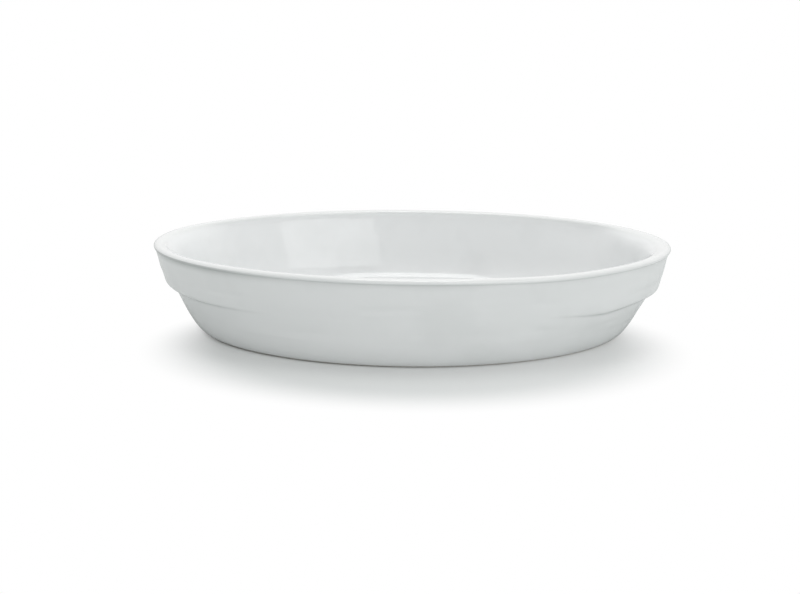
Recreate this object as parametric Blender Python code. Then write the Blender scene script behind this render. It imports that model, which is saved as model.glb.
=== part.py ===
# Oval baking dish in white glazed porcelain, cast in one piece: a flared wall with a rounded lip,
# a finger ledge under each end that dies away along the sides, and a foot ring to stand on.
# Metres, +Z up, +X along the dish. The origin is on the table, under the middle of the dish.

import math

import bmesh
import bpy

# Overall size, over the lip
DISH_LENGTH = 0.300
DISH_WIDTH = 0.200
DISH_HEIGHT = 0.050

# Lip, wall and floor
LIP_THICKNESS = 0.0056
LIP_CROWN = 0.0018  # from the widest oval of the lip up to its top
LIP_UNDERCUT = math.radians(45)  # how far the round goes on under the lip, to the neck of the wall
LIP_OVERHANG = 0.0002  # how far the lip stands in over the inner wall
UPRIGHT_DEPTH = 0.006  # the sides' inner wall stands upright at the top and slopes from this depth
UPRIGHT_END_LEAN = 0.0020  # how far the ends' inner wall leans in over the same depth
UPRIGHT_ROUND = 0.0020  # how far above that depth the turn between the two begins
UPRIGHT_EASE = 0.014  # and how far below it the turn ends
WALL_THICKNESS = 0.0052
FLOOR_THICKNESS = 0.0055
FILLET_HEIGHT = 0.020  # how far the inner corner reaches up the wall
FILLET_REACH = 0.016  # how far it reaches in over the floor

# Outside of the ends, from the lip down: the upper band, the finger ledge, the belly
BAND_LEAN = 0.0061
LEDGE_STEP = 0.0046
LEDGE_FALL = 0.0014
LEDGE_HEIGHT = 0.0249  # root of the ledge above the table
LEDGE_EDGE_ROUND = 0.0012
LEDGE_ROOT_ROUND = 0.0018
LEDGE_FULL = 0.80  # the ledge has its full step from this share of the half length to the end
LEDGE_GONE = 0.47  # and has died away at this share
BELLY_LEAN = 0.0132

# Outside of the long sides, which lean straight out from the foot and have no ledge
SIDE_LEAN = 0.0086

# Foot
FOOT_ROUND_HEIGHT = 0.012  # how far the round of the foot reaches up the wall
FOOT_ROUND_REACH = 0.0036  # how far it reaches in under the dish
FOOT_RING_WIDTH = 0.0050
FOOT_RECESS = 0.0016  # how far the middle of the underside clears the table
FOOT_RECESS_SLOPE = 0.0022

# How finely the curves are drawn
OVAL_SEGMENTS = 96
LIP_UNDER_STEPS = 3  # from the neck to the widest oval of the lip
LIP_OVER_STEPS = 12  # from there over the top to the inner wall
UPRIGHT_STEPS = 5
LEDGE_STEPS = 4
FOOT_STEPS = 8
FILLET_STEPS = 10
SMOOTH_ANGLE = math.radians(40)

PORCELAIN_COLOR = (0.80, 0.81, 0.805, 1.0)
PORCELAIN_ROUGHNESS = 0.12
GLAZE_IOR = 1.52

LIP_EDGE_HEIGHT = DISH_HEIGHT - LIP_CROWN
LEDGE_INSET = BAND_LEAN + LEDGE_STEP
END_LEAN = LEDGE_INSET + BELLY_LEAN


# A section point has four values: how far its oval lies in from the edge of the lip at the ends, how
# far it does so at the long sides, how far the ends swell out of that oval, and its height. Each
# point becomes one ring of the loft.


def between(start, end, share):
    """The point that lies a given share of the way from start to end."""
    return tuple(a + (b - a) * share for a, b in zip(start, end))


def eased_corner(before, corner, after, reach_before, reach_after, steps):
    """A corner turned into a curve that meets both its sides without a kink.

    The curve takes up a given reach of each side, and never more than half of that side.
    """
    side_before = max(abs(a - b) for a, b in zip(before, corner))
    side_after = max(abs(a - b) for a, b in zip(after, corner))
    start = between(corner, before, min(reach_before / side_before, 0.5))
    end = between(corner, after, min(reach_after / side_after, 0.5))
    points = []
    for step in range(steps + 1):
        share = step / steps
        points.append(between(between(start, corner, share), between(corner, end, share), share))
    return points


def lip_point(turn):
    """A point of the lip's flattened round, by its turn up from the widest point of the lip."""
    inset = LIP_THICKNESS / 2 * (1 - math.cos(turn))
    return (inset, inset, 0.0, LIP_EDGE_HEIGHT + LIP_CROWN * math.sin(turn))


def straight_inset(lean, height):
    """How far a straight wall from the neck to the table lies in from the edge of the lip."""
    neck_inset, _, _, neck_height = lip_point(-LIP_UNDERCUT)
    return neck_inset + (lean - neck_inset) * (1 - height / neck_height)


def wall_point(end_inset, height):
    """A point of the outside wall, which is straight but for the swelling of its ends."""
    straight_end = straight_inset(END_LEAN, height)
    return (straight_end, straight_inset(SIDE_LEAN, height), straight_end - end_inset, height)


def outside_points():
    """From under the middle of the dish, over the foot ring and up the outside to the ledge."""
    neck = lip_point(-LIP_UNDERCUT)
    ledge_edge = wall_point(BAND_LEAN, LEDGE_HEIGHT + LEDGE_FALL)
    ledge_root = wall_point(LEDGE_INSET, LEDGE_HEIGHT)
    wall_foot = wall_point(END_LEAN, 0.0)
    ring_reach = FOOT_ROUND_REACH + FOOT_RING_WIDTH
    ring_inside = (END_LEAN + ring_reach, SIDE_LEAN + ring_reach, 0.0, 0.0)
    recess_reach = ring_reach + FOOT_RECESS_SLOPE
    recess_edge = (END_LEAN + recess_reach, SIDE_LEAN + recess_reach, 0.0, FOOT_RECESS)

    foot_curve = eased_corner(
        ring_inside, wall_foot, ledge_root, FOOT_ROUND_REACH, FOOT_ROUND_HEIGHT, FOOT_STEPS
    )
    root_curve = eased_corner(
        wall_foot, ledge_root, ledge_edge, LEDGE_ROOT_ROUND, LEDGE_ROOT_ROUND, LEDGE_STEPS
    )
    edge_curve = eased_corner(
        ledge_root, ledge_edge, neck, LEDGE_EDGE_ROUND, LEDGE_EDGE_ROUND, LEDGE_STEPS
    )
    return [recess_edge, ring_inside] + foot_curve + root_curve + edge_curve


def lip_points():
    """The lip: a flattened bead from the neck of the wall, over the top, to the inner wall."""
    under = [-LIP_UNDERCUT * (1 - step / LIP_UNDER_STEPS) for step in range(LIP_UNDER_STEPS)]
    over = [math.pi * step / LIP_OVER_STEPS for step in range(LIP_OVER_STEPS + 1)]
    return [lip_point(turn) for turn in under + over]


def inside_points():
    """The inner wall, upright under the lip and sloping below, and its wide curve into the floor."""
    upright_inset = LIP_THICKNESS - LIP_OVERHANG
    upright_end = upright_inset + UPRIGHT_END_LEAN
    upright_foot = (upright_end, upright_inset, 0.0, DISH_HEIGHT - UPRIGHT_DEPTH)
    side_inset = straight_inset(SIDE_LEAN, LEDGE_HEIGHT)
    behind_ledge = (LEDGE_INSET + WALL_THICKNESS, side_inset + WALL_THICKNESS, 0.0, LEDGE_HEIGHT)
    drop = (upright_foot[3] - FLOOR_THICKNESS) / (upright_foot[3] - LEDGE_HEIGHT)
    corner = between(upright_foot, behind_ledge, drop)
    floor_reach = 2 * FILLET_REACH
    floor_point = (corner[0] + floor_reach, corner[1] + floor_reach, 0.0, FLOOR_THICKNESS)

    upright_curve = eased_corner(
        lip_point(math.pi), upright_foot, corner, UPRIGHT_ROUND, UPRIGHT_EASE, UPRIGHT_STEPS
    )
    fillet_curve = eased_corner(
        upright_foot, corner, floor_point, FILLET_HEIGHT, FILLET_REACH, FILLET_STEPS
    )
    return upright_curve + fillet_curve


def ledge_share(along):
    """How much of the swelling is left, from 1 at the ends of the dish to 0 along its sides."""
    share = (abs(along) - LEDGE_GONE) / (LEDGE_FULL - LEDGE_GONE)
    share = min(max(share, 0.0), 1.0)
    return along * share * share * (3 - 2 * share)


def oval_ring(bm, point, closed):
    """One ring round the dish through a section point, filled where it closes the loft."""
    in_at_end, in_at_side, swell, height = point
    half_length = DISH_LENGTH / 2 - in_at_end
    half_width = DISH_WIDTH / 2 - in_at_side
    circle = bmesh.ops.create_circle(bm, cap_ends=closed, segments=OVAL_SEGMENTS, radius=1.0)
    verts = circle["verts"]
    bmesh.ops.scale(bm, vec=(half_length, half_width, 1.0), verts=verts)
    bmesh.ops.translate(bm, vec=(0.0, 0.0, height), verts=verts)
    for vert in verts:
        vert.co.x += swell * ledge_share(vert.co.x / half_length)
    return list(dict.fromkeys(edge for vert in verts for edge in vert.link_edges))


def loft_dish(bm):
    """Rings from the underside over the lip to the floor, skinned one to the next."""
    points = outside_points() + lip_points() + inside_points()
    ends = (points[0], points[-1])
    rings = [oval_ring(bm, point, point in ends) for point in points]
    for lower, upper in zip(rings, rings[1:]):
        bmesh.ops.bridge_loops(bm, edges=lower + upper)
    bmesh.ops.recalc_face_normals(bm, faces=bm.faces)


def glazed_porcelain():
    material = bpy.data.materials.new("glazed_porcelain")
    material.use_nodes = True
    material.diffuse_color = PORCELAIN_COLOR
    shader = material.node_tree.nodes["Principled BSDF"]
    shader.inputs["Base Color"].default_value = PORCELAIN_COLOR
    shader.inputs["Roughness"].default_value = PORCELAIN_ROUGHNESS
    shader.inputs["Metallic"].default_value = 0.0
    shader.inputs["IOR"].default_value = GLAZE_IOR
    return material


def make_dish(collection):
    mesh = bpy.data.meshes.new("baking_dish")
    bm = bmesh.new()
    loft_dish(bm)
    bm.to_mesh(mesh)
    bm.free()
    mesh.shade_smooth()
    mesh.set_sharp_from_angle(angle=SMOOTH_ANGLE)
    mesh.materials.append(glazed_porcelain())
    dish = bpy.data.objects.new("baking_dish", mesh)
    collection.objects.link(dish)


def main():
    for item in list(bpy.data.objects):
        bpy.data.objects.remove(item, do_unlink=True)
    collection = bpy.data.collections.new("Oval Baking Dish")
    bpy.context.scene.collection.children.link(collection)
    make_dish(collection)


main()
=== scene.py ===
import math

import bmesh
import bpy
from mathutils import Matrix, Quaternion, Vector, noise


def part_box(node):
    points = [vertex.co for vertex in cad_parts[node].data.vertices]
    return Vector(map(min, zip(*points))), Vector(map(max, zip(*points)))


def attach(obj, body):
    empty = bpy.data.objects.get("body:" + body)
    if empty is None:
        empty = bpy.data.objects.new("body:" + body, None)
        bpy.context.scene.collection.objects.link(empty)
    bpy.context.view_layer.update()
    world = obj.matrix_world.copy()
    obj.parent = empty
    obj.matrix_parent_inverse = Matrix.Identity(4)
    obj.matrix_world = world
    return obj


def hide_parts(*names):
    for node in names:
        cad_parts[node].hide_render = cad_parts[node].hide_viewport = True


# Oval baking dish in white glazed porcelain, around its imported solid.
# Metres, +Z up, +X along the dish. It stands on the floor at height 0.

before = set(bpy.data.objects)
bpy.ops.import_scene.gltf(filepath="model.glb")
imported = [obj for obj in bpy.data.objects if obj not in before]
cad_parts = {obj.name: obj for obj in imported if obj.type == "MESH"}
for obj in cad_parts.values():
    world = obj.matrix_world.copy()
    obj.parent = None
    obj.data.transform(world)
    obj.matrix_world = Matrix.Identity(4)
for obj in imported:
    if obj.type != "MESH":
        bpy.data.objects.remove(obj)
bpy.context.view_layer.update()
mm = 0.001


def hexColor(text):
    # sRGB hex to linear
    channels = [int(text[i:i + 2], 16) / 255 for i in (0, 2, 4)]
    return tuple(c / 12.92 if c <= 0.04045 else ((c + 0.055) / 1.055) ** 2.4 for c in channels) + (1.0,)


def addNode(tree, kind, settings=None, inputs=None, links=None):
    # one node, its settings, its fixed inputs, and the sockets that feed it
    node = tree.nodes.new(kind)
    for name, value in (settings or {}).items():
        setattr(node, name, value)
    for name, value in (inputs or {}).items():
        node.inputs[name].default_value = value
    for name, socket in (links or {}).items():
        tree.links.new(socket, node.inputs[name])
    return node


# The dish. Insets are counted in from the edge of the lip, and shares are of the half length.
dish = {
    "node": "baking_dish",
    "lipThickness": 5.6 * mm,
    "lipCrown": 1.8 * mm,  # from the widest oval of the lip up to its top
    "lipUndercut": 45,  # degrees that its round goes on under the lip, to the neck of the wall
    "lipOverhang": 0.2 * mm,  # how far the lip stands in over the inner wall
    "neckRound": 0.5 * mm,
    "neckSide": 10,  # degrees of the lip's round that the rounded neck runs out into
    "uprightDepth": 6 * mm,  # the sides' inner wall is upright at the top and slopes from this depth
    "uprightEndLean": 2.0 * mm,  # how far the ends' inner wall leans in over the same depth
    "uprightRound": 2.0 * mm,  # how far above that depth the turn begins
    "uprightEase": 14 * mm,  # and how far below it the turn ends
    # the inner wall of the two ends falls away from the lip in a soft roll: how far in, how far down
    "endRolls": {-1: (3.6 * mm, 10 * mm), 1: (5.0 * mm, 7 * mm)},  # at -X and at +X
    "endRollSpan": (0.80, 0.96),  # shares over which the roll sets in
    "wallThickness": 5.2 * mm,
    "floorThickness": 5.5 * mm,
    "filletHeight": 20 * mm,  # how far the inner corner reaches up the wall
    "filletReach": 16 * mm,  # and how far in over the floor
    "bandLean": 6.1 * mm,  # of the band between the lip and the ledge
    "ledgeStep": 4.6 * mm,
    "ledgeFall": 1.4 * mm,  # from the edge of the ledge down to its root
    "ledgeHeight": 24.9 * mm,
    "ledgeEdgeRound": 1.6 * mm,
    "ledgeRootRound": 1.4 * mm,
    "ledgeFull": 0.80,  # the ledge has its full step from this share to the end
    "ledgeGone": 0.47,  # and has died away at this share
    "bellyLean": 13.2 * mm,
    "sideLean": 8.6 * mm,
    "footRoundHeight": 12 * mm,
    "footRoundReach": 3.6 * mm,
    "footRing": 5.0 * mm,
    "ringRound": 0.6 * mm,  # on the inner edge of the foot ring
    "recess": 1.6 * mm,
    "recessSlope": 2.2 * mm,
    "recessRound": 1.0 * mm,
    # the glaze: thin on the lip, where shade is also painted on its top, a full coat on the walls, and
    # painted shade in the neck under the lip, in the grey of pooled glaze
    "thinAndShadedOnLip": (0.5 * mm, 3 * mm),  # depths over which the coat grows to its full thickness and the painted shade on the lip's top fades
    "hollowDepth": 0.05,  # how much deeper it lies on the floor
    "hollowHeights": (4 * mm, 18 * mm),  # and the heights over which it loses that
    "creaseShadeHeight": 0.1 * mm,  # the painted shade in the neck under the lip is deepest this far under the widest oval of the lip
    "creaseShadeReach": (2.6 * mm, 0.9 * mm),  # how far it thins out down the wall, and up into the lip
    "creaseShadeDepths": (0.95, 0.30, 0.16),  # at the -X end, in the middle and towards +X
    "creaseShadeSpans": ((0.3, 1.0), (0.05, 0.40)),  # shares over which that changes towards -X and +X
    "ledgeRootShadeDepth": 0.25,  # painted shade also lies along the root of the +X ledge
    "ledgeRootShadeReach": 0.7 * mm,
    "ledgeRootShadeSpan": (0.62, 0.74),
    "glazeEnd": 0.7 * mm,  # and stops this far above the table
    # how finely the dish is drawn
    "segments": 432,
    "wallSpacing": 1.15 * mm,  # between the rings of the walls
    "finestStep": 0.05 * mm,
    "lipTurn": 10,  # degrees between the rings of the lip
    "cornerSteps": {"ring": 5, "foot": 16, "ledge": 8, "neck": 4, "upright": 18, "fillet": 26},
    "flatRings": 12,  # rings on each flat oval
    "middleRing": 0.3,  # size of its innermost ring against the one around it
    # what the maker's hand and the kiln leave: soft waves in the wall, a lip that isn't quite level.
    # A layer of waves has a depth, lengths along X, Y and Z, and the place in the noise where it starts
    "outerWaves": (
        (0.30 * mm, (46 * mm, 46 * mm, 13 * mm), 0.0),
        (0.13 * mm, (30 * mm, 30 * mm, 7 * mm), 14.0),
        (0.035 * mm, (9 * mm, 9 * mm, 4 * mm), 5.0),
    ),
    "outerAboveFoot": (3 * mm, 9 * mm),  # heights over which the waves of the outside set in
    "outerBelowLip": (1 * mm, 7 * mm),  # and depths below the lip
    "innerWaves": (
        (0.16 * mm, (34 * mm, 34 * mm, 26 * mm), 9.0),
        (0.08 * mm, (15 * mm, 15 * mm, 9 * mm), 17.0),
    ),
    "innerBelowLip": (1 * mm, 8 * mm),
    "innerFineWaves": ((0.035 * mm, (9 * mm, 9 * mm, 4 * mm), 2.0),),
    "floorWaves": ((0.10 * mm, (40 * mm, 40 * mm, 40 * mm), 4.0),),
    # shallow lines left by the sponge: height, depth, and where the noises of drift and patches start
    "spongeLines": ((33 * mm, 0.28 * mm, 29.7, 44.0), (18 * mm, 0.32 * mm, 16.2, 24.0)),
    "lineWidth": 1.7 * mm,
    "lineDrift": 2.2 * mm,  # how far a line drifts up and down, and over what length
    "lineDriftLength": 60 * mm,
    "linePatchLength": 30 * mm,  # how long a stretch of a line stays deep
    "linePatchLevels": (-0.1, 0.5),  # noise levels over which a stretch fades in
    "lipFades": (2 * mm, 14 * mm),  # depths over which the unevenness of the lip dies away
    "lipWave": (70 * mm, 3.1),  # length, and place in the noise
    "lipRipple": (28 * mm, 7.7),
    "lipDip": 0.30 * mm,
    "lipDipMix": (0.50, 0.35, 0.15),  # how much of the dip is steady, waves and ripples
    "lipDraw": 0.28 * mm,  # how far the lip is drawn in
    "lipDrawMix": (0.5, 0.5),  # how much of that is steady and ripples
    "lipSags": (  # place, reach, depth
        ((78 * mm, -84 * mm), 40 * mm, 0.9 * mm),
        ((0.0, -99 * mm), 50 * mm, 0.35 * mm),
    ),
    "ledgeZone": (12 * mm, 22 * mm, 30 * mm, 40 * mm),  # heights where its unevenness grows and fades
    "ledgeTilt": 0.8 * mm,  # the ledge sits this much lower at +X, and higher at -X
    "ledgeDrift": 0.5 * mm,
    "ledgeWave": (38 * mm, 11.0),
    "ledgeSag": ((103 * mm, -64 * mm), 20 * mm, 1.4 * mm),
    "rubbedFrom": -72 * mm,  # the ledge is rubbed softer from here to the -X end
    "rubbedHeights": (19 * mm, 32 * mm),
    "rubbedPasses": 8,
}


def between(start, end, share):
    return tuple(a + (b - a) * share for a, b in zip(start, end))


def smoothStep(low, high, value):
    share = min(max((value - low) / (high - low), 0.0), 1.0)
    return share * share * (3 - 2 * share)


def easedCorner(before, corner, after, reachBefore, reachAfter, steps):
    # a corner turned into a curve that takes up a reach of each side
    sideBefore = max(abs(a - b) for a, b in zip(before, corner))
    sideAfter = max(abs(a - b) for a, b in zip(after, corner))
    start = between(corner, before, min(reachBefore / sideBefore, 0.5))
    end = between(corner, after, min(reachAfter / sideAfter, 0.5))
    shares = [step / steps for step in range(steps + 1)]
    return [between(between(start, corner, s), between(corner, end, s), s) for s in shares]


def dishSection(d, height):
    # (inset at the ends, inset at the long sides, swelling of the ends, height, part of the dish),
    # from underneath to the floor
    def lipPoint(degrees):
        turn = math.radians(degrees)
        inset = d["lipThickness"] / 2 * (1 - math.cos(turn))
        return (inset, inset, 0.0, height - d["lipCrown"] * (1 - math.sin(turn)))

    neck = lipPoint(-d["lipUndercut"])
    neckEnd = d["neckSide"] - d["lipUndercut"]
    ledgeInset = d["bandLean"] + d["ledgeStep"]
    endLean = ledgeInset + d["bellyLean"]
    sideLean = d["sideLean"]

    def straightInset(lean, z):
        return neck[0] + (lean - neck[0]) * (1 - z / neck[3])

    def wallPoint(endInset, z):
        straightEnd = straightInset(endLean, z)
        return (straightEnd, straightInset(sideLean, z), straightEnd - endInset, z)

    def corner(before, middle, after, reachBefore, reachAfter, name):
        return easedCorner(before, middle, after, d[reachBefore], d[reachAfter], d["cornerSteps"][name])

    ledgeEdge = wallPoint(d["bandLean"], d["ledgeHeight"] + d["ledgeFall"])
    ledgeRoot = wallPoint(ledgeInset, d["ledgeHeight"])
    wallFoot = wallPoint(endLean, 0.0)
    reach = d["footRoundReach"] + d["footRing"]
    ringInside = (endLean + reach, sideLean + reach, 0.0, 0.0)
    reach += d["recessSlope"]
    recessEdge = (endLean + reach, sideLean + reach, 0.0, d["recess"])
    underneath = (endLean + reach * 2, sideLean + reach * 2, 0.0, d["recess"])

    foot = corner(underneath, recessEdge, ringInside, "recessRound", "recessRound", "ring")
    foot += corner(recessEdge, ringInside, wallFoot, "ringRound", "ringRound", "ring")
    foot += corner(ringInside, wallFoot, ledgeRoot, "footRoundReach", "footRoundHeight", "foot")
    wall = corner(wallFoot, ledgeRoot, ledgeEdge, "ledgeRootRound", "ledgeRootRound", "ledge")
    wall += corner(ledgeRoot, ledgeEdge, neck, "ledgeEdgeRound", "ledgeEdgeRound", "ledge")
    wall += corner(ledgeEdge, neck, lipPoint(neckEnd), "neckRound", "neckRound", "neck")
    turns = set(range(neckEnd + d["lipTurn"] // 2, 180, d["lipTurn"])) | {0, 180}
    lip = [lipPoint(turn) for turn in sorted(turns)]

    thickness = d["wallThickness"]
    uprightInset = d["lipThickness"] - d["lipOverhang"]
    uprightFoot = (uprightInset + d["uprightEndLean"], uprightInset, 0.0, height - d["uprightDepth"])
    sideInset = straightInset(sideLean, d["ledgeHeight"])
    behindLedge = (ledgeInset + thickness, sideInset + thickness, 0.0, d["ledgeHeight"])
    drop = (uprightFoot[3] - d["floorThickness"]) / (uprightFoot[3] - d["ledgeHeight"])
    wallBottom = between(uprightFoot, behindLedge, drop)
    floorPoint = tuple(v + 2 * d["filletReach"] for v in wallBottom[:2]) + (0.0, d["floorThickness"])
    inside = corner(lip[-1], uprightFoot, wallBottom, "uprightRound", "uprightEase", "upright")
    inside += corner(uprightFoot, wallBottom, floorPoint, "filletHeight", "filletReach", "fillet")

    section = []
    for part, points in (("foot", foot), ("wall", wall), ("lip", lip), ("inside", inside)):
        for point in points:
            last = section[-1][:4] if section else point
            gap = math.dist(last, point)
            if section and gap < d["finestStep"]:
                continue
            count = 1 if part == "foot" else max(1, round(gap / d["wallSpacing"]))
            for step in range(1, count):
                section.append(between(last, point, step / count) + (part,))
            section.append(tuple(point) + (part,))
    return section


def extrudeRing(bm, edges, growX, growY, lift):
    # the next oval, pulled out of the last one
    made = bmesh.ops.extrude_edge_only(bm, edges=edges)["geom"]
    verts = [item for item in made if isinstance(item, bmesh.types.BMVert)]
    fresh = set(verts)
    ring = [item for item in made if isinstance(item, bmesh.types.BMEdge) and set(item.verts) <= fresh]
    bmesh.ops.scale(bm, vec=(growX, growY, 1.0), verts=verts)
    bmesh.ops.translate(bm, vec=(0, 0, lift), verts=verts)
    return verts, ring


def fillOval(bm, verts, edges, d):
    # a flat oval, in rings that close in its middle
    layers = [verts]
    for ring in range(d["flatRings"], 0, -1):
        grow = (ring - 1) / ring if ring > 1 else d["middleRing"]
        verts, edges = extrudeRing(bm, edges, grow, grow, 0.0)
        layers.append(verts)
    bmesh.ops.contextual_create(bm, geom=edges)
    return layers


def swellEnds(verts, swell, halfLength, d):
    # draws the ends of an oval out to the ledge, which dies away along the sides
    for vert in verts:
        along = vert.co.x / halfLength
        vert.co.x += swell * along * smoothStep(d["ledgeGone"], d["ledgeFull"], abs(along))


def rollEnds(verts, halfLength, height, d):
    # moves the inner wall of the two ends inwards, most of all a little below the lip
    for vert in verts:
        end = 1 if vert.co.x > 0 else -1
        reach, deepest = d["endRolls"][end]
        depth = (height - vert.co.z) / deepest
        share = smoothStep(*d["endRollSpan"], abs(vert.co.x) / halfLength)
        vert.co.x -= end * reach * share * depth * math.exp(1 - depth)


def loftDish(bm, section, halfLength, halfWidth, height, d):
    # gives every ring of points with the section point that it went through
    first = section[0]
    size = (halfLength - first[0], halfWidth - first[1])
    verts = bmesh.ops.create_circle(bm, cap_ends=False, segments=d["segments"], radius=1.0)["verts"]
    bmesh.ops.scale(bm, vec=(size[0], size[1], 1.0), verts=verts)
    bmesh.ops.translate(bm, vec=(0, 0, first[3]), verts=verts)
    edges = list(bm.edges)
    firstVerts, firstEdges = verts, edges
    rings = [(verts, first)]
    for last, point in zip(section, section[1:]):
        newSize = (halfLength - point[0], halfWidth - point[1])
        growX, growY = newSize[0] / size[0], newSize[1] / size[1]
        verts, edges = extrudeRing(bm, edges, growX, growY, point[3] - last[3])
        size = newSize
        rings.append((verts, point))
    for ring, (inset, _, swell, _, part) in rings:
        swellEnds(ring, swell, halfLength - inset, d)
        if part in ("lip", "inside") and inset > d["lipThickness"] / 2:
            rollEnds(ring, halfLength - inset, height, d)
    fillOval(bm, firstVerts, firstEdges, d)
    floorLayers = fillOval(bm, verts, edges, d)[1:]
    return rings + [(layer, section[-1][:4] + ("floor",)) for layer in floorLayers]


def waves(point, layers):
    total = 0.0
    for depth, (alongX, alongY, alongZ), start in layers:
        place = Vector((point.x / alongX + start, point.y / alongY, point.z / alongZ))
        total += depth * noise.noise(place)
    return total


def roundWave(point, length, start):
    # changes round the dish and not with the height
    return noise.noise(Vector((point.x / length, point.y / length, start)))


def dent(point, place, reach, depth):
    away = math.hypot(point.x - place[0], point.y - place[1]) / reach
    return depth * math.exp(-away * away)


def spongeLine(point, line, d):
    lineHeight, depth, driftStart, patchStart = line
    drift = d["lineDrift"] * roundWave(point, d["lineDriftLength"], driftStart)
    patch = smoothStep(*d["linePatchLevels"], roundWave(point, d["linePatchLength"], patchStart))
    away = (point.z - lineHeight - drift) / d["lineWidth"]
    return depth * patch * math.exp(-away * away)


def workByHand(verts, part, halfLength, halfWidth, height, d):
    # moves the points of one ring as a hand and a fire would
    for vert in verts:
        co = vert.co
        outward = Vector((co.x / halfLength ** 2, co.y / halfWidth ** 2, 0)).normalized()
        fromLip = height - co.z
        onLip = 1 - smoothStep(*d["lipFades"], fromLip)
        wave = roundWave(co, *d["lipWave"])
        ripple = roundWave(co, *d["lipRipple"])
        steady, waving, rippling = d["lipDipMix"]
        lift = -onLip * d["lipDip"] * (steady + waving * wave + rippling * ripple)
        lift -= onLip * sum(dent(co, *sag) for sag in d["lipSags"])
        steady, rippling = d["lipDrawMix"]
        push = -onLip * d["lipDraw"] * (steady + rippling * ripple)
        if part == "wall":
            clear = smoothStep(*d["outerAboveFoot"], co.z) * smoothStep(*d["outerBelowLip"], fromLip)
            lines = sum(spongeLine(co, line, d) for line in d["spongeLines"])
            push += clear * (waves(co, d["outerWaves"]) - lines)
            low, full, fading, gone = d["ledgeZone"]
            nearLedge = smoothStep(low, full, co.z) * (1 - smoothStep(fading, gone, co.z))
            drift = d["ledgeDrift"] * roundWave(co, *d["ledgeWave"])
            tilt = d["ledgeTilt"] * (co.x / halfLength) ** 3
            lift += nearLedge * (drift - dent(co, *d["ledgeSag"]) - tilt)
        if part == "inside":
            push += smoothStep(*d["innerBelowLip"], fromLip) * waves(co, d["innerWaves"])
            push += waves(co, d["innerFineWaves"])
        if part == "floor":
            lift += waves(co, d["floorWaves"])
        vert.co = co + outward * push + Vector((0, 0, lift))


def rubLedge(bm, rings, d):
    low, high = d["rubbedHeights"]
    wall = [vert for ring, point in rings if point[4] == "wall" for vert in ring]
    rubbed = [vert for vert in wall if vert.co.x < d["rubbedFrom"] and low < vert.co.z < high]
    for _ in range(d["rubbedPasses"]):
        bmesh.ops.smooth_vert(
            bm, verts=rubbed, factor=0.5, use_axis_x=True, use_axis_y=True, use_axis_z=True)


def glazeAndPaintedShade(vert, point, halfLength, height, d):
    # 0 where the glaze has run thin on the lip and shade is painted on its top, 0.5 on the walls, up to
    # 1 where shade is painted in the neck and at the ledge root
    inset, _, _, z, part = point
    along = vert.co.x / halfLength
    # the lip's top: thin glaze, and painted shade on it
    thinAndShaded = 1 - smoothStep(*d["thinAndShadedOnLip"], height - z)
    hollow = 0.0
    if part in ("inside", "floor"):
        hollow = d["hollowDepth"] * (1 - smoothStep(*d["hollowHeights"], z))
    paintedShade = 0.0
    # painted shade in the neck under the lip, deepest at the -X end
    if part == "wall" or (part == "lip" and inset < d["lipThickness"] / 2):
        above = z - height + d["lipCrown"] + d["creaseShadeHeight"]
        away = above / d["creaseShadeReach"][1 if above > 0 else 0]
        atLeft, atMiddle, atRight = d["creaseShadeDepths"]
        spanLeft, spanRight = d["creaseShadeSpans"]
        depth = atMiddle + (atLeft - atMiddle) * smoothStep(*spanLeft, -along)
        depth -= (atMiddle - atRight) * smoothStep(*spanRight, along)
        paintedShade = depth * math.exp(-away * away)
    # painted shade along the root of the +X ledge
    if part == "wall":
        away = (z - d["ledgeHeight"]) / d["ledgeRootShadeReach"]
        paintedShade += d["ledgeRootShadeDepth"] * math.exp(-away * away) * smoothStep(*d["ledgeRootShadeSpan"], along)
    return 0.5 * (1 + paintedShade) - 0.5 * thinAndShaded * (1 - paintedShade) + hollow


def makeDish(d):
    lowest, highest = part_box(d["node"])
    halfLength = (highest.x - lowest.x) / 2
    halfWidth = (highest.y - lowest.y) / 2
    height = highest.z
    bm = bmesh.new()
    # per point: the glaze's thickness, which also carries the painted shade of the lip, the neck and
    # the ledge root
    glaze = bm.verts.layers.float.new("glaze")
    rings = loftDish(bm, dishSection(d, height), halfLength, halfWidth, height, d)
    for ring, point in rings:
        for vert in ring:
            vert[glaze] = glazeAndPaintedShade(vert, point, halfLength, height, d)
        workByHand(ring, point[4], halfLength, halfWidth, height, d)
    rubLedge(bm, rings, d)
    bmesh.ops.recalc_face_normals(bm, faces=bm.faces)
    for face in bm.faces:
        face.smooth = True
        bare = face.normal.z < 0 and face.calc_center_median().z < d["glazeEnd"]
        face.material_index = 1 if bare else 0
    mesh = bpy.data.meshes.new("porcelainDish")
    bm.to_mesh(mesh)
    bm.free()
    piece = bpy.data.objects.new("porcelainDish", mesh)
    bpy.context.scene.collection.objects.link(piece)
    return piece


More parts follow.
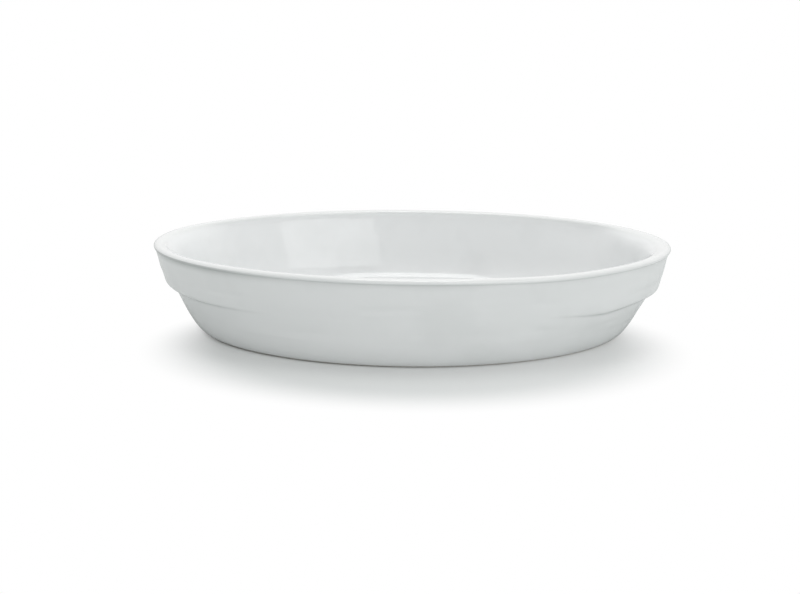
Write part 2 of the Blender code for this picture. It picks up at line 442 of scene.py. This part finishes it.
# White tableware porcelain, slip-cast and dipped in a clear glossy glaze. The eye gets a clean white
# that turns a trace cooler and greyer where the glaze pools on the floor, painted shade in that grey in
# the neck under the lip and at the +X ledge's root, a greyer painted shade on the lip's top, a sharp
# window-like gloss, and a faint unevenness in it.
porcelain = {
    "white": "EEF0F0",
    "thinGlazeAndLipShade": "E6E8E7",  # the greyer body shows through where the glaze has run off the lip, which also paints shade on the lip's top
    # painted shade in the neck under the lip and at the +X ledge root, and the grey of glaze pooled on
    # the floor
    "pooledGlazeAndShade": "A9AEAC",
    "clouds": 0.04,  # how uneven the coat is
    "cloudSize": 34 * mm,
    "cloudDetail": 3.0,
    "cloudLevels": (0.3, 0.7),  # the noise levels that are stretched over that
    "bodyRoughness": 0.45,
    "bodyIor": 1.5,
    "glazeRoughness": 0.05,
    "glazeIor": 1.52,
    "peelSize": 3.2 * mm,  # real orange peel is nearer 1 mm, drawn coarser so that it shows
    "peelDetail": 2.0,
    "peelDepth": 0.012 * mm,
}

# Bare fired clay, where the ring was wiped clean of glaze so that it wouldn't stick to the kiln shelf.
# Matt, a little warmer than the glazed body, with a fine sandy grain.
biscuit = {
    "clay": "DAD6CE",
    "rubbed": "C9C4BB",
    "grainSize": 0.7 * mm,
    "grainDetail": 4.0,
    "grainLevels": (0.35, 0.6),  # noise levels of the rubbed colour and of the clay
    "grainDepth": 0.03 * mm,
    "roughness": 0.85,
    "ior": 1.5,
}


def newMaterial(name):
    material = bpy.data.materials.new(name)
    material.use_nodes = True
    material.node_tree.nodes.clear()
    return material, material.node_tree


def glazedPorcelain(p):
    material, tree = newMaterial("glazedPorcelain")
    place = addNode(tree, "ShaderNodeTexCoord").outputs["Object"]
    clouds = addNode(tree, "ShaderNodeTexNoise", {},
                     {"Scale": 1 / p["cloudSize"], "Detail": p["cloudDetail"]}, {"Vector": place})
    low, high = p["cloudLevels"]
    shift = addNode(
        tree, "ShaderNodeMapRange", {},
        {"From Min": low, "From Max": high, "To Min": -p["clouds"], "To Max": p["clouds"]},
        {"Value": clouds.outputs["Fac"]})
    # the glaze's thickness, which also carries painted shade
    coat = addNode(tree, "ShaderNodeAttribute", {"attribute_name": "glaze"})
    thickness = addNode(tree, "ShaderNodeMath", {"operation": "ADD"}, {},
                        {0: coat.outputs["Fac"], 1: shift.outputs["Result"]})
    ramp = addNode(tree, "ShaderNodeValToRGB", {}, {}, {"Fac": thickness.outputs[0]})
    # thin glaze with painted shade on the lip's top, the white coat, and the grey that paints shade in
    # the neck and at the ledge root
    ramp.color_ramp.elements[0].color = hexColor(p["thinGlazeAndLipShade"])
    ramp.color_ramp.elements[1].color = hexColor(p["pooledGlazeAndShade"])
    ramp.color_ramp.elements.new(0.5).color = hexColor(p["white"])
    peel = addNode(tree, "ShaderNodeTexNoise", {},
                   {"Scale": 1 / p["peelSize"], "Detail": p["peelDetail"]}, {"Vector": place})
    relief = addNode(tree, "ShaderNodeBump", {}, {"Strength": 1.0, "Distance": p["peelDepth"]},
                     {"Height": peel.outputs["Fac"]})
    shader = addNode(
        tree, "ShaderNodeBsdfPrincipled", {},
        {"Roughness": p["bodyRoughness"], "IOR": p["bodyIor"],
         "Coat Weight": 1.0, "Coat Roughness": p["glazeRoughness"], "Coat IOR": p["glazeIor"]},
        {"Base Color": ramp.outputs["Color"], "Coat Normal": relief.outputs["Normal"]})
    addNode(tree, "ShaderNodeOutputMaterial", {}, {}, {"Surface": shader.outputs[0]})
    return material


def bareBiscuit(b):
    material, tree = newMaterial("bareBiscuitFoot")
    place = addNode(tree, "ShaderNodeTexCoord").outputs["Object"]
    grain = addNode(tree, "ShaderNodeTexNoise", {},
                    {"Scale": 1 / b["grainSize"], "Detail": b["grainDetail"]}, {"Vector": place})
    ramp = addNode(tree, "ShaderNodeValToRGB", {}, {}, {"Fac": grain.outputs["Fac"]})
    for element, level, color in zip(ramp.color_ramp.elements, b["grainLevels"], ("rubbed", "clay")):
        element.position = level
        element.color = hexColor(b[color])
    relief = addNode(tree, "ShaderNodeBump", {}, {"Strength": 1.0, "Distance": b["grainDepth"]},
                     {"Height": grain.outputs["Fac"]})
    shader = addNode(
        tree, "ShaderNodeBsdfPrincipled", {}, {"Roughness": b["roughness"], "IOR": b["ior"]},
        {"Base Color": ramp.outputs["Color"], "Normal": relief.outputs["Normal"]})
    addNode(tree, "ShaderNodeOutputMaterial", {}, {}, {"Surface": shader.outputs[0]})
    return material


piece = makeDish(dish)
print("dish made:", len(piece.data.polygons), "faces")
piece.data.materials.append(glazedPorcelain(porcelain))
piece.data.materials.append(bareBiscuit(biscuit))
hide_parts(dish["node"])
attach(piece, "root")
print("dish glazed")


# Floor and studio: a white sweep that is lit from above and behind, so that the dish's shadow lies
# in front of it. Places on the floor are along X and Y.
studio = {
    "floorRadius": 12.0,
    "floorSegments": 96,
    "floorColor": "D1D4D3",
    "shadowCenter": (3 * mm, -49 * mm),
    "shadowReach": (152 * mm, 110 * mm),  # half axes of the oval in which the floor keeps its shadow
    "shadowFade": (0.68, 1.02),  # shares of that oval between which the floor turns to plain white
    "veil": 0.14,  # painted light: a share of white that thins the shadow
    "veilMore": 0.10,  # and how much more of that painted light there is towards +X
    "veilRise": (-60 * mm, 120 * mm),  # from where to where along the dish that grows
    "footReach": (122.5 * mm, 88 * mm),  # half axes of the foot, close to which the shadow stays deep
    "footFade": (1.005, 1.05),  # shares of the foot between which the veil sets in
    "room": 0.455,  # brightness of the room all round
    "glows": {  # azimuth from the camera's side towards +X, elevation, falloff to the sides, brightness
        "backdrop": (180, 38, 2.0, 0.64),
        "leftWall": (265, 35, 4.0, 0.45),
        "rightWall": (95, 35, 4.0, 0.40),
    },
    "topBox": {
        "place": (0.0, 0.09, 1.20), "aim": (0.0, 0.091, 0.0), "roll": 0,
        "size": (0.45, 0.46), "radiance": 3.2,
    },
    "windowBox": {
        "place": (0.62, -1.05, 0.64), "aim": (0.0, 0.0, 0.05), "roll": -10,
        "size": (0.84, 1.20), "radiance": 1.35,
    },
}


def whiteSweep(s):
    # The floor's paint, under a white that only the camera sees: all of it around the shadow, and a
    # thin veil of it within the shadow as painted light, more towards +X, but for the contact line
    # along the foot
    material, tree = newMaterial("whiteSweep")
    place = addNode(tree, "ShaderNodeTexCoord").outputs["Object"]
    alongDish = addNode(tree, "ShaderNodeSeparateXYZ", {}, {}, {"Vector": place})
    fromShadow = addNode(tree, "ShaderNodeVectorMath", {"operation": "SUBTRACT"},
                         {1: s["shadowCenter"] + (0.0,)}, {0: place})
    shadowShare = addNode(tree, "ShaderNodeVectorMath", {"operation": "DIVIDE"},
                          {1: s["shadowReach"] + (1.0,)}, {0: fromShadow.outputs[0]})
    footShare = addNode(tree, "ShaderNodeVectorMath", {"operation": "DIVIDE"},
                        {1: s["footReach"] + (1.0,)}, {0: place})
    shadowDistance = addNode(tree, "ShaderNodeVectorMath", {"operation": "LENGTH"}, {},
                             {0: shadowShare.outputs[0]})
    footDistance = addNode(tree, "ShaderNodeVectorMath", {"operation": "LENGTH"}, {},
                           {0: footShare.outputs[0]})
    aroundShadow = addNode(tree, "ShaderNodeMapRange", {"interpolation_type": "SMOOTHSTEP"},
                           {"From Min": s["shadowFade"][0], "From Max": s["shadowFade"][1]},
                           {"Value": shadowDistance.outputs["Value"]})
    beyondFoot = addNode(tree, "ShaderNodeMapRange", {"interpolation_type": "SMOOTHSTEP"},
                         {"From Min": s["footFade"][0], "From Max": s["footFade"][1]},
                         {"Value": footDistance.outputs["Value"]})
    rise = addNode(tree, "ShaderNodeMapRange", {"interpolation_type": "SMOOTHSTEP"},
                   {"From Min": s["veilRise"][0], "From Max": s["veilRise"][1]},
                   {"Value": alongDish.outputs["X"]})
    fullVeil = addNode(tree, "ShaderNodeMath", {"operation": "MULTIPLY_ADD"},
                       {1: s["veilMore"], 2: s["veil"]}, {0: rise.outputs["Result"]})
    clear = addNode(tree, "ShaderNodeMath", {"operation": "MAXIMUM"}, {},
                    {0: beyondFoot.outputs["Result"], 1: rise.outputs["Result"]})
    veil = addNode(tree, "ShaderNodeMath", {"operation": "MULTIPLY"}, {},
                   {0: fullVeil.outputs[0], 1: clear.outputs[0]})
    inShadow = addNode(tree, "ShaderNodeMath", {"operation": "SUBTRACT"}, {0: 1.0},
                       {1: aroundShadow.outputs["Result"]})
    unveiled = addNode(tree, "ShaderNodeMath", {"operation": "SUBTRACT"}, {0: 1.0},
                       {1: veil.outputs[0]})
    painted = addNode(tree, "ShaderNodeMath", {"operation": "MULTIPLY"}, {},
                      {0: inShadow.outputs[0], 1: unveiled.outputs[0]})
    whitened = addNode(tree, "ShaderNodeMath", {"operation": "SUBTRACT"}, {0: 1.0},
                       {1: painted.outputs[0]})
    rays = addNode(tree, "ShaderNodeLightPath")
    whiteShown = addNode(tree, "ShaderNodeMath", {"operation": "MULTIPLY"}, {},
                         {0: whitened.outputs[0], 1: rays.outputs["Is Camera Ray"]})
    paint = addNode(tree, "ShaderNodeBsdfDiffuse", {}, {"Color": hexColor(s["floorColor"])})
    white = addNode(tree, "ShaderNodeEmission", {}, {"Strength": 1.0})
    blend = addNode(tree, "ShaderNodeMixShader", {}, {},
                    {0: whiteShown.outputs[0], 1: paint.outputs[0], 2: white.outputs[0]})
    addNode(tree, "ShaderNodeOutputMaterial", {}, {}, {"Surface": blend.outputs[0]})
    return material


def makeFloor(s):
    bm = bmesh.new()
    bmesh.ops.create_circle(bm, cap_ends=True, segments=s["floorSegments"], radius=s["floorRadius"])
    mesh = bpy.data.meshes.new("floor")
    bm.to_mesh(mesh)
    bm.free()
    mesh.materials.append(whiteSweep(s))
    floor = bpy.data.objects.new("floor", mesh)
    bpy.context.scene.collection.objects.link(floor)


def makeRoom(s):
    # a soft room that lights the dish, behind a white that only the camera sees
    world = bpy.data.worlds.new("softRoom")
    bpy.context.scene.world = world
    world.use_nodes = True
    tree = world.node_tree
    tree.nodes.clear()
    direction = addNode(tree, "ShaderNodeTexCoord").outputs["Generated"]
    level = None
    for name, (azimuth, elevation, falloff, strength) in s["glows"].items():
        turn, rise = math.radians(azimuth), math.radians(elevation)
        flat = math.cos(rise)
        towards = Vector((math.sin(turn) * flat, -math.cos(turn) * flat, math.sin(rise)))
        facing = addNode(tree, "ShaderNodeVectorMath", {"operation": "DOT_PRODUCT", "label": name},
                         {1: towards}, {0: direction})
        lit = addNode(tree, "ShaderNodeMath", {"operation": "MAXIMUM"}, {1: 0.0},
                      {0: facing.outputs["Value"]})
        spread = addNode(tree, "ShaderNodeMath", {"operation": "POWER"}, {1: falloff},
                         {0: lit.outputs[0]})
        glow = addNode(tree, "ShaderNodeMath", {"operation": "MULTIPLY_ADD"},
                       {1: strength, 2: s["room"]}, {0: spread.outputs[0]})
        if level:  # each further glow goes on top of the ones before it
            tree.links.new(level, glow.inputs[2])
        level = glow.outputs[0]
    room = addNode(tree, "ShaderNodeBackground", {}, {"Color": (1, 1, 1, 1)}, {"Strength": level})
    white = addNode(tree, "ShaderNodeBackground", {}, {"Color": (1, 1, 1, 1), "Strength": 1.0})
    rays = addNode(tree, "ShaderNodeLightPath")
    blend = addNode(tree, "ShaderNodeMixShader", {}, {},
                    {0: rays.outputs["Is Camera Ray"], 1: room.outputs[0], 2: white.outputs[0]})
    addNode(tree, "ShaderNodeOutputWorld", {}, {}, {"Surface": blend.outputs[0]})


def addSoftbox(name, box):
    light = bpy.data.lights.new(name, "AREA")
    light.shape = "RECTANGLE"
    light.size, light.size_y = box["size"]
    light.energy = box["radiance"] * math.pi * light.size * light.size_y
    lamp = bpy.data.objects.new(name, light)
    lamp.location = box["place"]
    toAim = (Vector(box["aim"]) - lamp.location).to_track_quat("-Z", "Y")
    lamp.rotation_euler = (toAim @ Quaternion((0, 0, 1), math.radians(box["roll"]))).to_euler()
    lamp.visible_camera = False
    bpy.context.scene.collection.objects.link(lamp)


makeFloor(studio)
makeRoom(studio)
for name in ("topBox", "windowBox"):
    addSoftbox(name, studio[name])
print("studio lit")


# The camera stands in front of the dish and a little above it, turned and rolled by a trace
camera = {
    "distance": 0.700,
    "elevation": 14.42,
    "turn": 1.17,  # degrees round the dish, towards -X
    "roll": 0.31,
    "aimAlong": -6.53 * mm,
    "aimHeight": 15.13 * mm,
    "focalPixels": 1181.9,
    "frameWidth": 800,
    "sensor": 36.0,
    "clip": (0.01, 60.0),
}


def makeCamera(c):
    data = bpy.data.cameras.new("camera")
    data.sensor_width = c["sensor"]
    data.lens = c["focalPixels"] * c["sensor"] / c["frameWidth"]
    data.clip_start, data.clip_end = c["clip"]
    shot = bpy.data.objects.new("camera", data)
    bpy.context.scene.collection.objects.link(shot)
    up = math.radians(c["elevation"])
    turn = Matrix.Rotation(math.radians(c["turn"]), 4, "Z")
    aim = Vector((c["aimAlong"], 0, c["aimHeight"]))
    place = aim + Vector((0, -c["distance"] * math.cos(up), c["distance"] * math.sin(up)))
    look = (aim - place).to_track_quat("-Z", "Y").to_matrix().to_4x4()
    roll = Matrix.Rotation(math.radians(c["roll"]), 4, "Z")
    shot.matrix_world = turn @ Matrix.Translation(place) @ look @ roll
    bpy.context.scene.camera = shot


makeCamera(camera)
bpy.context.scene.view_settings.view_transform = "Standard"
print("camera set")
